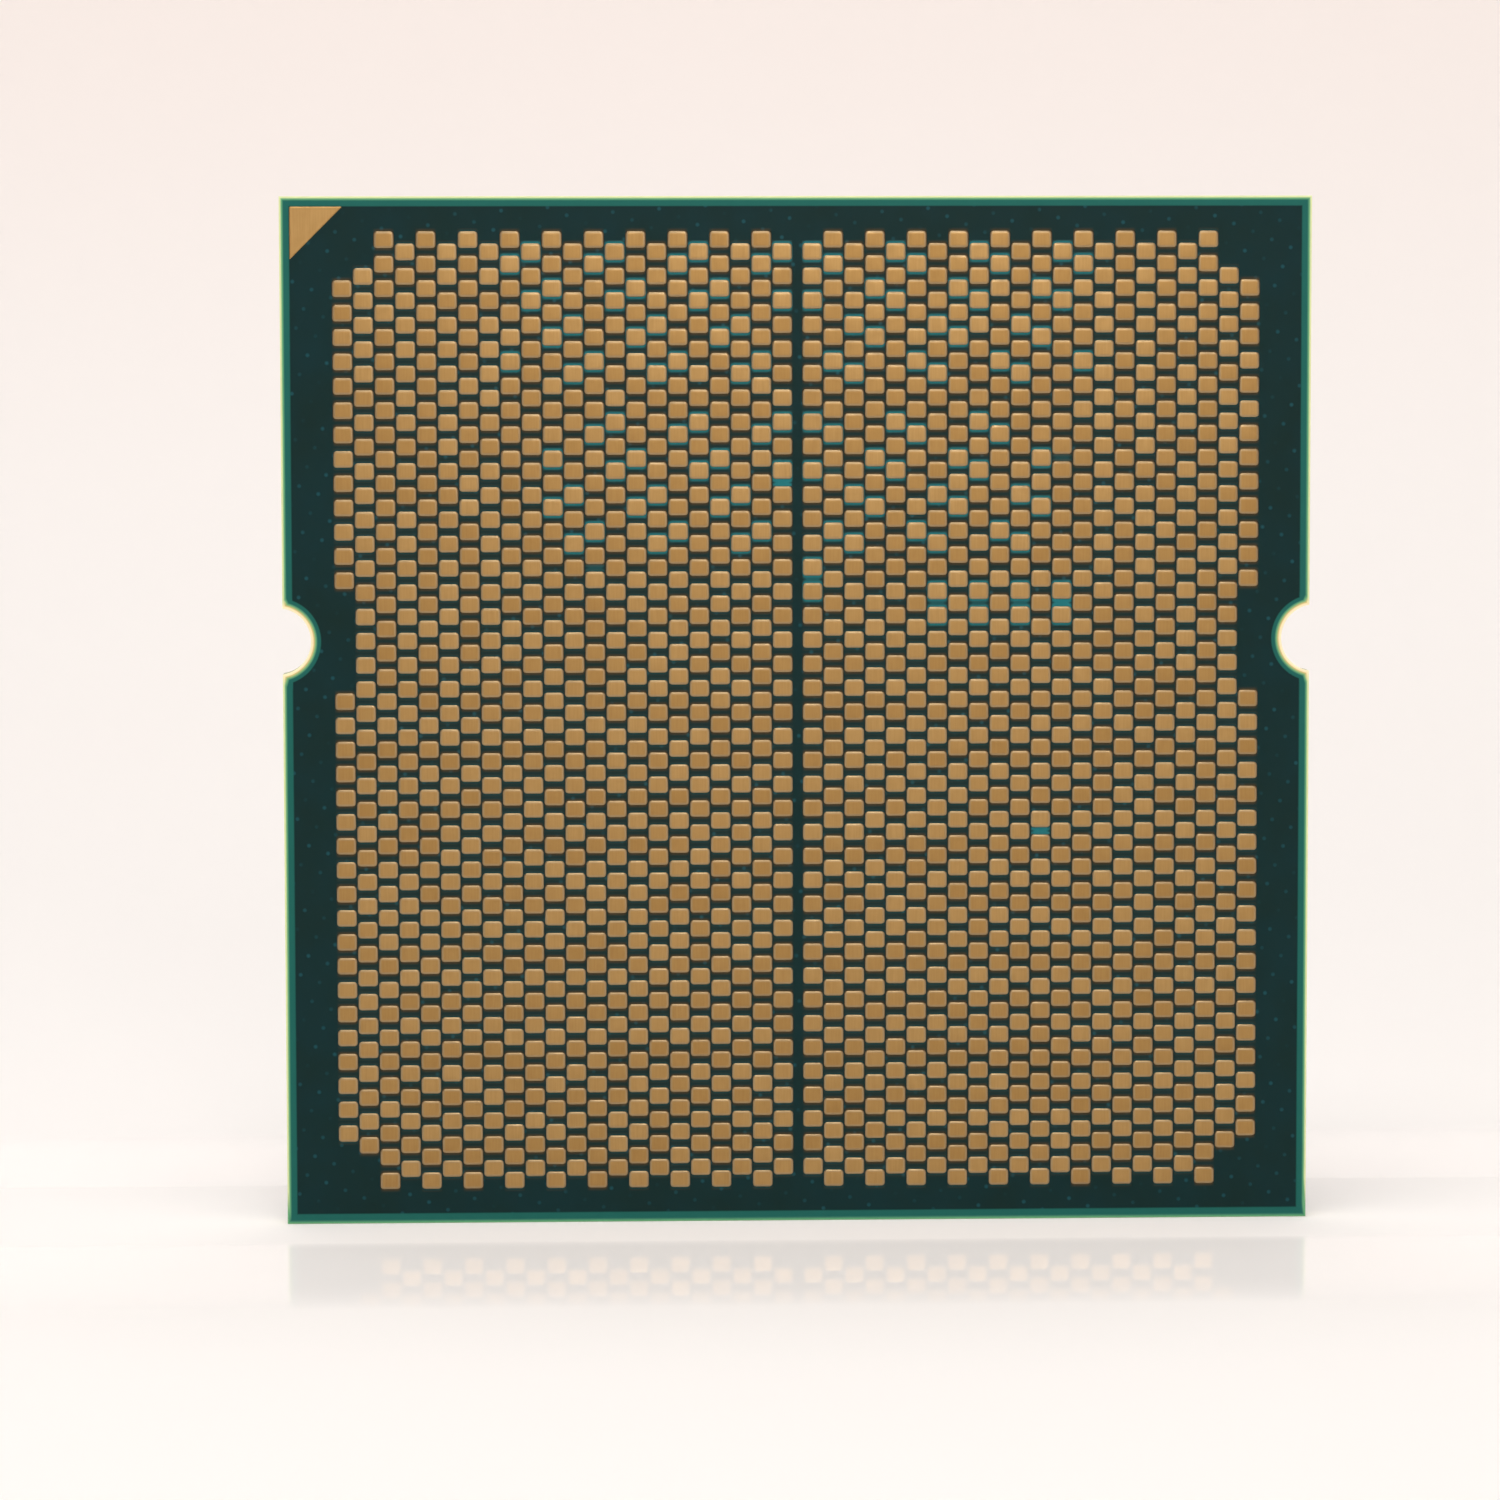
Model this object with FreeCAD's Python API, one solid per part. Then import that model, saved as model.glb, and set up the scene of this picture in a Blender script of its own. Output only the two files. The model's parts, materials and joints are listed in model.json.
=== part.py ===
import FreeCAD, Part
import math
import os
from FreeCAD import Vector

# Desktop processor in a land grid package, standing on its lower edge.
# X runs to the right along the land face, Z runs up, and Y runs from the land face to the lid.
# The origin is the middle of the bottom of the whole package. All sizes are in millimetres.

# Package
package_side = 40.0
package_thickness = 4.8

# Substrate layers, from the land face towards the lid
land_thickness = 0.03
mask_thickness = 0.03
plane_thickness = 0.02
film_thickness = 0.12
core_thickness = 0.8
lid_side_mask_thickness = 0.06
plane_inset = 0.4

# Keying notches in the left and right edges
notch_radius = 1.3
notch_centre_x = 20.2
notch_above_middle = 2.82

# Land grid: two fields of staggered columns with a channel between them
land_width = 0.77
land_height = 0.65
land_corner = 0.13
column_pitch = 0.81
half_row_pitch = 0.47
first_column_x = 0.5825
columns_per_field = 22
last_half_row = 39
shorter_columns = {20: 36, 21: 35}
notch_land_clearance = 2.0

# Marker for the first contact, a right-angled triangle in one corner
marker_leg = 2.03

# Plated posts through the core
via_radius = 0.12
via_pitch = 2.2
vias_each_way = 17

# Silicon: width along X, height along Z, middle of the die from the middle of the package
die_thickness = 0.75
bump_height = 0.08
bump_radius = 0.14
bump_pitch = 0.8
dies = {
    "io_die": {"width": 13.0, "height": 9.4, "x": 0.0, "z": 3.4},
    "compute_die_left": {"width": 10.4, "height": 6.8, "x": -6.1, "z": -6.6},
    "compute_die_right": {"width": 10.4, "height": 6.8, "x": 6.1, "z": -6.6},
}
underfill_skirt = 0.6
underfill_climb = 0.45
thermal_solder_thickness = 0.25

# Lid: eight feet, a flange with eight legs, and a raised plateau
sealant_thickness = 0.1
flange_thickness = 1.02
leg_reach = 18.8
leg_outer_edge = 13.4
leg_shoulder = 16.2
bay_half_width = 4.4
bay_floor = 15.6
plateau_reach = 16.3
plateau_corner = 12.7
plateau_bay_half_width = 4.9
plateau_bay_floor = 15.2
flange_corner_radius = 0.8
plateau_corner_radius = 0.5
plateau_edge_radius = 0.2
foot_width = 2.0
foot_length = 7.6
foot_corner_radius = 0.5
foot_reach = 17.5
foot_middle = 8.9

# Ceramic capacitor: body between two end caps, on two pads
capacitor_length = 1.0
capacitor_width = 0.5
capacitor_height = 0.5
capacitor_end = 0.25
body_step = 0.01
pad_length = 0.5
pad_width = 0.56
pad_thickness = 0.02
solder_thickness = 0.03
solder_climb = 0.26
solder_foot = 0.2
solder_side_gap = 0.02

# Capacitor places, from the middle of the package
bay_capacitor_pitch = 1.7
bay_capacitors_each_row = 4
bay_capacitor_rows = (16.9, 18.2)
corner_capacitor_places = ((15.3, 18.0), (16.85, 16.85), (18.0, 15.3))
io_capacitor_row = 10.6
io_capacitors_in_row = 7
io_capacitor_column = 9.2
io_capacitors_in_column = 5
compute_capacitor_row = -12.3
compute_capacitors_in_row = 12
under_lid_capacitor_pitch = 1.9

# Derived places
middle_z = package_side / 2
land_plane = -package_thickness / 2
lid_top = package_thickness / 2
mask_face = land_plane + land_thickness
land_plane_copper = mask_face + mask_thickness
land_film_face = land_plane_copper + plane_thickness
core_land_face = land_film_face + film_thickness
core_lid_face = core_land_face + core_thickness
lid_film_top = core_lid_face + film_thickness
lid_copper_top = lid_film_top + plane_thickness
substrate_top = lid_film_top + lid_side_mask_thickness
die_base = substrate_top + bump_height
die_top = die_base + die_thickness
cavity_ceiling = die_top + thermal_solder_thickness
feet_base = substrate_top + sealant_thickness
flange_top = cavity_ceiling + flange_thickness


def point(x, z):
    return Vector(x, 0, z)


def line(start, end):
    return Part.LineSegment(start, end).toShape()


def arc(start, middle, end):
    return Part.Arc(start, middle, end).toShape()


def slab(outer, holes, y_low, y_high):
    # Solid between two Y planes, with the given outline and holes.
    face = Part.makeFace([outer] + holes, "Part::FaceMakerBullseye")
    solid = face.extrude(Vector(0, y_high - y_low, 0))
    solid.translate(Vector(0, y_low, 0))
    return solid


def block(x, z, width, height, y_low, y_high):
    corner = Vector(x - width / 2, y_low, z - height / 2)
    return Part.makeBox(width, y_high - y_low, height, corner)


def rounded_polygon(corners, radius):
    # Closed wire of straight sides, each corner replaced by a tangent arc.
    starts, middles, ends = [], [], []
    for number, corner in enumerate(corners):
        to_before = (corners[number - 1] - corner).normalize()
        to_after = (corners[(number + 1) % len(corners)] - corner).normalize()
        half_angle = to_before.getAngle(to_after) / 2
        reach = radius / math.tan(half_angle)
        inward = (to_before + to_after).normalize()
        middle_gap = radius / math.sin(half_angle) - radius
        starts.append(corner + to_before * reach)
        middles.append(corner + inward * middle_gap)
        ends.append(corner + to_after * reach)
    edges = []
    for number, start in enumerate(starts):
        edges.append(line(ends[number - 1], start))
        edges.append(arc(start, middles[number], ends[number]))
    return Part.Wire(Part.__sortEdges__(edges))


def rounded_rectangle(x, z, width, height, radius):
    left, right = x - width / 2, x + width / 2
    low, high = z - height / 2, z + height / 2
    corners = [point(left, low), point(right, low), point(right, high), point(left, high)]
    return rounded_polygon(corners, radius)


def package_outline(inset):
    # Square with a round notch in the left and the right edge, moved in by the inset.
    reach = package_side / 2 - inset
    low, high = middle_z - reach, middle_z + reach
    radius = notch_radius + inset
    notch_z = middle_z + notch_above_middle
    chord = math.sqrt(radius ** 2 - (notch_centre_x - reach) ** 2)
    deepest = notch_centre_x - radius
    below, above = notch_z - chord, notch_z + chord
    return Part.Wire([
        line(point(-reach, low), point(reach, low)),
        line(point(reach, low), point(reach, below)),
        arc(point(reach, below), point(deepest, notch_z), point(reach, above)),
        line(point(reach, above), point(reach, high)),
        line(point(reach, high), point(-reach, high)),
        line(point(-reach, high), point(-reach, above)),
        arc(point(-reach, above), point(-deepest, notch_z), point(-reach, below)),
        line(point(-reach, below), point(-reach, low)),
    ])


def grid(columns, rows, pitch):
    # Places of a rectangular grid about its own middle.
    places = []
    for column in range(columns):
        for row in range(rows):
            x = (column - (columns - 1) / 2) * pitch
            z = (row - (rows - 1) / 2) * pitch
            places.append((x, z))
    return places


def circle(x, z, radius):
    edge = Part.makeCircle(radius, point(x, z), Vector(0, 1, 0))
    return Part.Wire(edge)


def substrate_layers():
    outline = package_outline(0)
    plane = package_outline(plane_inset)
    vias = [circle(x, middle_z + z, via_radius) for x, z in grid(vias_each_way, vias_each_way, via_pitch)]
    land_copper = slab(plane, [], land_plane_copper, land_film_face)
    lid_copper = slab(plane, [], lid_film_top, lid_copper_top)
    land_mask = slab(outline, [], mask_face, land_film_face).cut(land_copper)
    lid_mask = slab(outline, [], lid_film_top, substrate_top).cut(lid_copper)
    posts = [slab(wire, [], core_land_face, core_lid_face) for wire in vias]
    return {
        "land_side_solder_mask": land_mask,
        "land_side_ground_plane": land_copper,
        "land_side_buildup_film": slab(outline, [], land_film_face, core_land_face),
        "core_laminate": slab(outline, vias, core_land_face, core_lid_face),
        "core_via_posts": Part.makeCompound(posts),
        "lid_side_buildup_film": slab(outline, [], core_lid_face, lid_film_top),
        "lid_side_ground_plane": lid_copper,
        "lid_side_solder_mask": lid_mask,
    }


def half_rows(column):
    # Even columns hold even half rows and odd columns odd ones, so neighbours are staggered.
    limit = shorter_columns.get(column, last_half_row)
    rows = [row for row in range(-limit, limit + 1) if (row + column) % 2 == 0]
    if column < columns_per_field - 1:
        return rows
    return [row for row in rows if abs(row * half_row_pitch - notch_above_middle) > notch_land_clearance]


def land_groups():
    # One group of separate lands for each quarter of the land face.
    groups = {}
    for side, side_name in ((-1, "left"), (1, "right")):
        for column in range(columns_per_field):
            x = side * (first_column_x + column * column_pitch)
            for row in half_rows(column):
                height_name = "upper" if row >= 0 else "lower"
                z = middle_z + row * half_row_pitch
                wire = rounded_rectangle(x, z, land_width, land_height, land_corner)
                land = slab(wire, [], land_plane, mask_face)
                groups.setdefault(f"{height_name}_{side_name}_lands", []).append(land)
    return {name: Part.makeCompound(lands) for name, lands in groups.items()}


def corner_markers():
    # Gold triangles on both faces, in the upper corner on the left of the land face.
    edge = package_side / 2 - plane_inset
    left, top = -edge, middle_z + edge
    corners = [point(left, top), point(left + marker_leg, top), point(left, top - marker_leg)]
    wire = Part.makePolygon(corners + corners[:1])
    return {
        "land_side_corner_marker": slab(wire, [], land_plane, mask_face),
        "lid_side_corner_marker": slab(wire, [], substrate_top, substrate_top + land_thickness),
    }


def rectangle(x, z, width, height, y):
    left, right = x - width / 2, x + width / 2
    low, high = z - height / 2, z + height / 2
    corners = [Vector(left, y, low), Vector(right, y, low), Vector(right, y, high), Vector(left, y, high)]
    return Part.makePolygon(corners + corners[:1])


def die_pieces(name, die):
    # Silicon on its bumps, the underfill that holds them, and the solder sheet up to the lid.
    x, z = die["x"], middle_z + die["z"]
    width, height = die["width"], die["height"]
    silicon = block(x, z, width, height, die_base, die_top)
    columns, rows = int(width / bump_pitch), int(height / bump_pitch)
    bumps = []
    for bump_x, bump_z in grid(columns, rows, bump_pitch):
        bumps.append(slab(circle(x + bump_x, z + bump_z, bump_radius), [], substrate_top, die_base))
    foot = rectangle(x, z, width + 2 * underfill_skirt, height + 2 * underfill_skirt, substrate_top)
    crest = rectangle(x, z, width, height, die_base + underfill_climb)
    underfill = Part.makeLoft([foot, crest], True).cut(silicon).cut(Part.makeCompound(bumps))
    return {
        name: silicon,
        f"{name}_bumps": Part.makeCompound(bumps),
        f"{name}_underfill": underfill,
        f"{name}_thermal_solder": block(x, z, width, height, die_top, cavity_ceiling),
    }


def four_sides(side_points):
    # The same points, given for the right side from bottom to top, on all four sides.
    corners = []
    for quarter in range(4):
        turn = math.pi / 2 * quarter
        for x, z in side_points:
            turned_x = x * math.cos(turn) - z * math.sin(turn)
            turned_z = x * math.sin(turn) + z * math.cos(turn)
            corners.append(point(turned_x, middle_z + turned_z))
    return corners


def flange_outline():
    upper_half = [
        (bay_floor, bay_half_width),
        (leg_reach, bay_half_width),
        (leg_reach, leg_outer_edge),
        (leg_shoulder, leg_outer_edge),
    ]
    lower_half = [(x, -z) for x, z in reversed(upper_half)]
    return rounded_polygon(four_sides(lower_half + upper_half), flange_corner_radius)


def plateau_outline():
    upper_half = [
        (plateau_bay_floor, plateau_bay_half_width),
        (plateau_reach, plateau_bay_half_width),
        (plateau_reach, plateau_corner),
    ]
    lower_half = [(x, -z) for x, z in reversed(upper_half)]
    return rounded_polygon(four_sides(lower_half + upper_half), plateau_corner_radius)


def foot_outlines():
    outlines = []
    for side in (-1, 1):
        for end in (-1, 1):
            beside = (side * foot_reach, middle_z + end * foot_middle, foot_width, foot_length)
            across = (end * foot_middle, middle_z + side * foot_reach, foot_length, foot_width)
            outlines.append(rounded_rectangle(*beside, foot_corner_radius))
            outlines.append(rounded_rectangle(*across, foot_corner_radius))
    return outlines


def lid_pieces():
    flange = slab(flange_outline(), [], cavity_ceiling, flange_top)
    plateau = slab(plateau_outline(), [], flange_top, lid_top)
    top_edges = [edge for edge in plateau.Edges if edge.BoundBox.YMin > lid_top - plateau_edge_radius]
    plateau = plateau.makeFillet(plateau_edge_radius, top_edges)
    feet = [slab(wire, [], feet_base, cavity_ceiling) for wire in foot_outlines()]
    sealant = [slab(wire, [], substrate_top, feet_base) for wire in foot_outlines()]
    return {
        "heat_spreader": plateau.multiFuse([flange] + feet).removeSplitter(),
        "heat_spreader_sealant": Part.makeCompound(sealant),
    }


def capacitor(x, z, upright):
    # Pieces of one capacitor: long axis along X, or along Z when upright.
    pad_top = substrate_top + pad_thickness
    body_base = pad_top + solder_thickness
    body_top = body_base + capacitor_height
    end_middle = (capacitor_length - capacitor_end) / 2
    middle_length = capacitor_length - 2 * capacitor_end
    body_width = capacitor_width - 2 * body_step
    solder_width = capacitor_width - 2 * solder_side_gap
    body = block(0, 0, middle_length, body_width, body_base + body_step, body_top - body_step)
    ends, pads, solder = [], [], []
    for side in (-1, 1):
        inner = side * middle_length / 2
        outer = side * capacitor_length / 2
        toe = outer + side * solder_foot
        profile = [
            Vector(inner, pad_top, 0),
            Vector(toe, pad_top, 0),
            Vector(outer, pad_top + solder_climb, 0),
            Vector(outer, body_base, 0),
            Vector(inner, body_base, 0),
        ]
        fillet = Part.Face(Part.makePolygon(profile + profile[:1])).extrude(Vector(0, 0, solder_width))
        fillet.translate(Vector(0, 0, -solder_width / 2))
        pad_middle = (inner + toe) / 2
        ends.append(block(side * end_middle, 0, capacitor_end, capacitor_width, body_base, body_top))
        pads.append(block(pad_middle, 0, pad_length, pad_width, substrate_top, pad_top))
        solder.append(fillet)
    pieces = {"bodies": [body], "ends": ends, "solder": solder, "pads": pads}
    for group in pieces.values():
        for piece in group:
            if upright:
                piece.rotate(Vector(0, 0, 0), Vector(0, 1, 0), 90)
            piece.translate(Vector(x, 0, middle_z + z))
    return pieces


def capacitor_clusters():
    # Where each named cluster of capacitors stands: x, z and whether it is upright.
    clusters = {}
    middle_column = (bay_capacitors_each_row - 1) / 2
    for name, turn in (("right", 0), ("top", 1), ("left", 2), ("bottom", 3)):
        places = []
        for out in bay_capacitor_rows:
            for number in range(bay_capacitors_each_row):
                along = (number - middle_column) * bay_capacitor_pitch
                x, z = ((out, along), (-along, out), (-out, -along), (along, -out))[turn]
                places.append((x, z, turn % 2 == 0))
        clusters[f"{name}_bay_capacitor"] = places
    for height, height_name in ((1, "upper"), (-1, "lower")):
        for side, side_name in ((-1, "left"), (1, "right")):
            places = [(side * x, height * z, x > z) for x, z in corner_capacitor_places]
            clusters[f"{height_name}_{side_name}_corner_capacitor"] = places
    row_middle = (io_capacitors_in_row - 1) / 2
    column_middle = (io_capacitors_in_column - 1) / 2
    places = []
    for number in range(io_capacitors_in_row):
        places.append(((number - row_middle) * under_lid_capacitor_pitch, io_capacitor_row, True))
    for number in range(io_capacitors_in_column):
        z = dies["io_die"]["z"] + (number - column_middle) * under_lid_capacitor_pitch
        places.append((-io_capacitor_column, z, False))
        places.append((io_capacitor_column, z, False))
    clusters["io_die_capacitor"] = places
    row_middle = (compute_capacitors_in_row - 1) / 2
    places = []
    for number in range(compute_capacitors_in_row):
        places.append(((number - row_middle) * under_lid_capacitor_pitch, compute_capacitor_row, True))
    clusters["compute_die_capacitor"] = places
    return clusters


def capacitor_nodes():
    # Bodies and end caps in a node per cluster, solder and pads in a node per region.
    groups = {}
    for name, places in capacitor_clusters().items():
        region = "bay" if "bay" in name else "corner" if "corner" in name else "under_lid"
        for x, z, upright in places:
            pieces = capacitor(x, z, upright)
            groups.setdefault(f"{name}_bodies", []).extend(pieces["bodies"])
            groups.setdefault(f"{name}_ends", []).extend(pieces["ends"])
            groups.setdefault(f"{region}_capacitor_solder", []).extend(pieces["solder"])
            groups.setdefault(f"{region}_capacitor_pads", []).extend(pieces["pads"])
    return {name: Part.makeCompound(solids) for name, solids in groups.items()}


def all_nodes():
    nodes = {}
    nodes.update(substrate_layers())
    nodes.update(land_groups())
    nodes.update(corner_markers())
    for name, die in dies.items():
        nodes.update(die_pieces(name, die))
    nodes.update(lid_pieces())
    nodes.update(capacitor_nodes())
    return nodes


os.makedirs("parts", exist_ok=True)
for node_name, shape in all_nodes().items():
    shape.exportStep(f"parts/{node_name}.step")
    print(node_name, len(shape.Solids), round(shape.Volume, 3), shape.isValid())
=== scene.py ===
import json
import bpy
import numpy as np
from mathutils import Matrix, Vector
from mathutils.geometry import delaunay_2d_cdt


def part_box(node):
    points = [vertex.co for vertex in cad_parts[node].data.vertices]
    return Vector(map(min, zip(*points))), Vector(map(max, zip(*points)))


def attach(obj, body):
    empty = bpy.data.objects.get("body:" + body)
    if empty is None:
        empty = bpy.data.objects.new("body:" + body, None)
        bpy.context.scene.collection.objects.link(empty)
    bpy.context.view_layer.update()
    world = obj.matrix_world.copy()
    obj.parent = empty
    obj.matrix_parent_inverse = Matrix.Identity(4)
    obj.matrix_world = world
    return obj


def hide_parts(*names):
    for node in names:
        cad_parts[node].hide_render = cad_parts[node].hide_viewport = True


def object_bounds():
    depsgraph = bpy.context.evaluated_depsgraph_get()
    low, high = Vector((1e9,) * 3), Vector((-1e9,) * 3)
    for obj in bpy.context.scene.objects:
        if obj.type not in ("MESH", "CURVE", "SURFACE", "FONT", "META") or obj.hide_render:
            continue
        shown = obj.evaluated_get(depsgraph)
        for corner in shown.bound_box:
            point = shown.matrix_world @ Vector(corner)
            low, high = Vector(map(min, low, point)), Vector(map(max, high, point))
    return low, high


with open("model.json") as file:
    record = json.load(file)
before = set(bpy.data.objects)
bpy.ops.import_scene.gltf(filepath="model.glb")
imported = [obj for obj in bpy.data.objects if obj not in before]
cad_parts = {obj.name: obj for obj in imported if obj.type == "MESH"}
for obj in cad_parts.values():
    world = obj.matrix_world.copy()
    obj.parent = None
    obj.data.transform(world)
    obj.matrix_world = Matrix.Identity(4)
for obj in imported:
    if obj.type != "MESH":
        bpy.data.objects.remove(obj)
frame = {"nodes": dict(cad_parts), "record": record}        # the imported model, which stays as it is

cadLow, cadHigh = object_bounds()
mm = 0.001
quarterTurn = np.pi / 2
rng = np.random.default_rng(11)


# mesh helpers: everything below is arrays of points and arrays of face rows

def makePiece(name, points, faceBlocks, material, slotName, standsFor, smooth=True, marks=None, sharpFrom=None):
    # each face block is an array with one face per row; marks are point attributes; edges that bend by more
    # than sharpFrom degrees are shaded as hard edges
    mesh = bpy.data.meshes.new(name)
    sizes = np.concatenate([np.full(len(block), block.shape[1]) for block in faceBlocks])
    corners = np.concatenate([block.ravel() for block in faceBlocks]).astype(np.int32)
    starts = np.concatenate([[0], np.cumsum(sizes)[:-1]]).astype(np.int32)
    mesh.vertices.add(len(points))
    mesh.vertices.foreach_set("co", np.asarray(points, np.float32).ravel())
    mesh.loops.add(len(corners))
    mesh.loops.foreach_set("vertex_index", corners)
    mesh.polygons.add(len(sizes))
    mesh.polygons.foreach_set("loop_start", starts)
    mesh.polygons.foreach_set("use_smooth", np.full(len(sizes), smooth))
    for markName, values in (marks or {}).items():
        layer = mesh.attributes.new(markName, "FLOAT", "POINT")
        layer.data.foreach_set("value", np.asarray(values, np.float32))
    mesh.update(calc_edges=True)
    if sharpFrom:
        mesh.set_sharp_from_angle(angle=np.radians(sharpFrom))
    mesh.materials.append(material)
    piece = bpy.data.objects.new(name, mesh)
    bpy.context.collection.objects.link(piece)
    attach(piece, "root")
    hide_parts(*standsFor)


def stripFaces(firstLoop, secondLoop):
    # quads between two closed loops of point numbers, the first one outer or deeper
    return np.stack([firstLoop, np.roll(firstLoop, -1), np.roll(secondLoop, -1), secondLoop], axis=1)


def loftFaces(loopCount, loopSize, closeFirst=True, closeLast=True):
    # a stack of closed loops joined in turn, with a face over each end
    loops = np.arange(loopCount * loopSize).reshape(loopCount, loopSize)
    strips = np.concatenate([stripFaces(loops[i], loops[i + 1]) for i in range(loopCount - 1)])
    caps = [loops[-1]] if closeLast else []
    if closeFirst:
        caps.append(loops[0][::-1])
    return [strips] + ([np.array(caps)] if caps else [])


def stampTemplate(points, faceBlocks, centres):
    # the same shape at many centres: points + centre, and face numbers moved on by one shape each time
    stamped = (points[None] + centres[:, None]).reshape(-1, 3)
    shift = np.arange(len(centres))[:, None, None] * len(points)
    blocks = [(block[None] + shift).reshape(-1, block.shape[1]) for block in faceBlocks]
    return stamped, blocks


def weldPoints(points, faceBlocks, marks, step=1e-7):
    # points that fall in the same cell of a fine grid become one, with the highest mark of those it stands for
    cells = np.round(points / step).astype(np.int64)
    kept, firstAt, newNumber = np.unique(cells, axis=0, return_index=True, return_inverse=True)
    newNumber = newNumber.ravel()
    welded = {}
    for name, values in marks.items():
        welded[name] = np.zeros(len(kept))
        np.maximum.at(welded[name], newNumber, values)
    return points[firstAt], [newNumber[block] for block in faceBlocks], welded


def roundedLoop(halfWidth, halfHeight, radiusX, radiusZ, perCorner):
    # rounded rectangle: at each corner, corner centre + (rx cos a, rz sin a) over a quarter turn
    angle = np.linspace(0, quarterTurn, perCorner)
    signX, signZ = np.array([1, -1, -1, 1]), np.array([1, 1, -1, -1])
    turn = angle[None] + np.arange(4)[:, None] * quarterTurn
    x = signX[:, None] * (halfWidth - radiusX) + radiusX * np.cos(turn)
    z = signZ[:, None] * (halfHeight - radiusZ) + radiusZ * np.sin(turn)
    return np.stack([x.ravel(), z.ravel()], axis=1)


def solidBoxes(nodeName, pointsEach):
    # lowest and highest corner of every separate block in a CAD node of equal blocks
    mesh = frame["nodes"][nodeName].data
    points = np.empty(len(mesh.vertices) * 3, np.float32)
    mesh.vertices.foreach_get("co", points)
    blocks = points.reshape(-1, pointsEach, 3)
    return blocks.min(axis=1), blocks.max(axis=1)


# shader helpers

def addNode(tree, kind, settings=None, **inputs):
    # a node with its settings and inputs; an input may be a value or another node's output
    node = tree.nodes.new(kind)
    for name, value in (settings or {}).items():
        setattr(node, name, value)
    for name, value in inputs.items():
        key = int(name[1:]) if name[0] == "n" and name[1:].isdigit() else name.replace("_", " ")
        if isinstance(value, bpy.types.NodeSocket):
            tree.links.new(value, node.inputs[key])
        else:
            node.inputs[key].default_value = value
    return node


def newGroup(name, inputs, outputs):
    # an empty shader group with its sockets; inputs give a default each
    group = bpy.data.node_groups.new(name, "ShaderNodeTree")
    for socketName, (kind, value) in inputs.items():
        socket = group.interface.new_socket(socketName, in_out="INPUT", socket_type="NodeSocket" + kind)
        socket.default_value = value
    for socketName, kind in outputs.items():
        group.interface.new_socket(socketName, in_out="OUTPUT", socket_type="NodeSocket" + kind)
    return group, group.nodes.new("NodeGroupInput").outputs, group.nodes.new("NodeGroupOutput").inputs


def newMaterial(name):
    material = bpy.data.materials.new(name)
    material.use_nodes = True
    tree = material.node_tree
    return material, tree, tree.nodes["Principled BSDF"]


def feed(tree, shader, **sources):
    # links outputs to the shader's sockets of those names
    for name, source in sources.items():
        tree.links.new(source, shader.inputs[name.replace("_", " ")])


def mixColour(tree, share, first, second):
    # first where share is 0, second where it is 1
    node = addNode(tree, "ShaderNodeMix", {"data_type": "RGBA"})
    for socket, value in ((node.inputs[0], share), (node.inputs[6], first), (node.inputs[7], second)):
        if isinstance(value, bpy.types.NodeSocket):
            tree.links.new(value, socket)
        else:
            socket.default_value = value
    return node.outputs[2]


def remap(tree, value, fromLow, fromHigh, toLow, toHigh):
    node = addNode(tree, "ShaderNodeMapRange", {"interpolation_type": "SMOOTHSTEP"}, Value=value)
    node.inputs[1].default_value, node.inputs[2].default_value = fromLow, fromHigh
    node.inputs[3].default_value, node.inputs[4].default_value = toLow, toHigh
    return node.outputs[0]


def readMark(tree, name):
    return addNode(tree, "ShaderNodeAttribute", {"attribute_name": name}).outputs["Fac"]


def colour(red, green, blue):
    # sRGB 0 to 255 as the linear colour a socket takes
    share = np.array([red, green, blue]) / 255
    linear = np.where(share <= 0.04045, share / 12.92, ((share + 0.055) / 1.055) ** 2.4)
    return (*linear.tolist(), 1)


def combine(tree, operation, first, second, clamp=False):
    # one math node of two values
    node = addNode(tree, "ShaderNodeMath", {"operation": operation, "use_clamp": clamp}, n0=first, n1=second)
    return node.outputs[0]


def combineVectors(tree, operation, first, second):
    node = addNode(tree, "ShaderNodeVectorMath", {"operation": operation}, n0=first, n1=second)
    return node.outputs[0]


def objectPlace(tree):
    return addNode(tree, "ShaderNodeTexCoord").outputs["Object"]


def grainGroup():
    # noise on stretched object coordinates: a mask from 0 to 1 and the same as a height
    group, given, result = newGroup(
        "fineGrain",
        {"Stretch": ("Vector", (1000, 1000, 1000)), "Detail": ("Float", 3.0), "Contrast": ("Float", 1.0)},
        {"Mask": "Float", "Height": "Float"})
    stretched = combineVectors(group, "MULTIPLY", objectPlace(group), given["Stretch"])
    noise = addNode(group, "ShaderNodeTexNoise", Vector=stretched, Scale=1.0, Detail=given["Detail"]).outputs[0]
    spread = combine(group, "MULTIPLY", combine(group, "SUBTRACT", noise, 0.5), given["Contrast"])
    group.links.new(combine(group, "ADD", spread, 0.5, clamp=True), result["Mask"])
    group.links.new(noise, result["Height"])
    return group


scratchShape = {"patchScale": 220.0, "patchDetail": 2.0, "levelShare": 0.5, "sharpness": 14.0}


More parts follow.
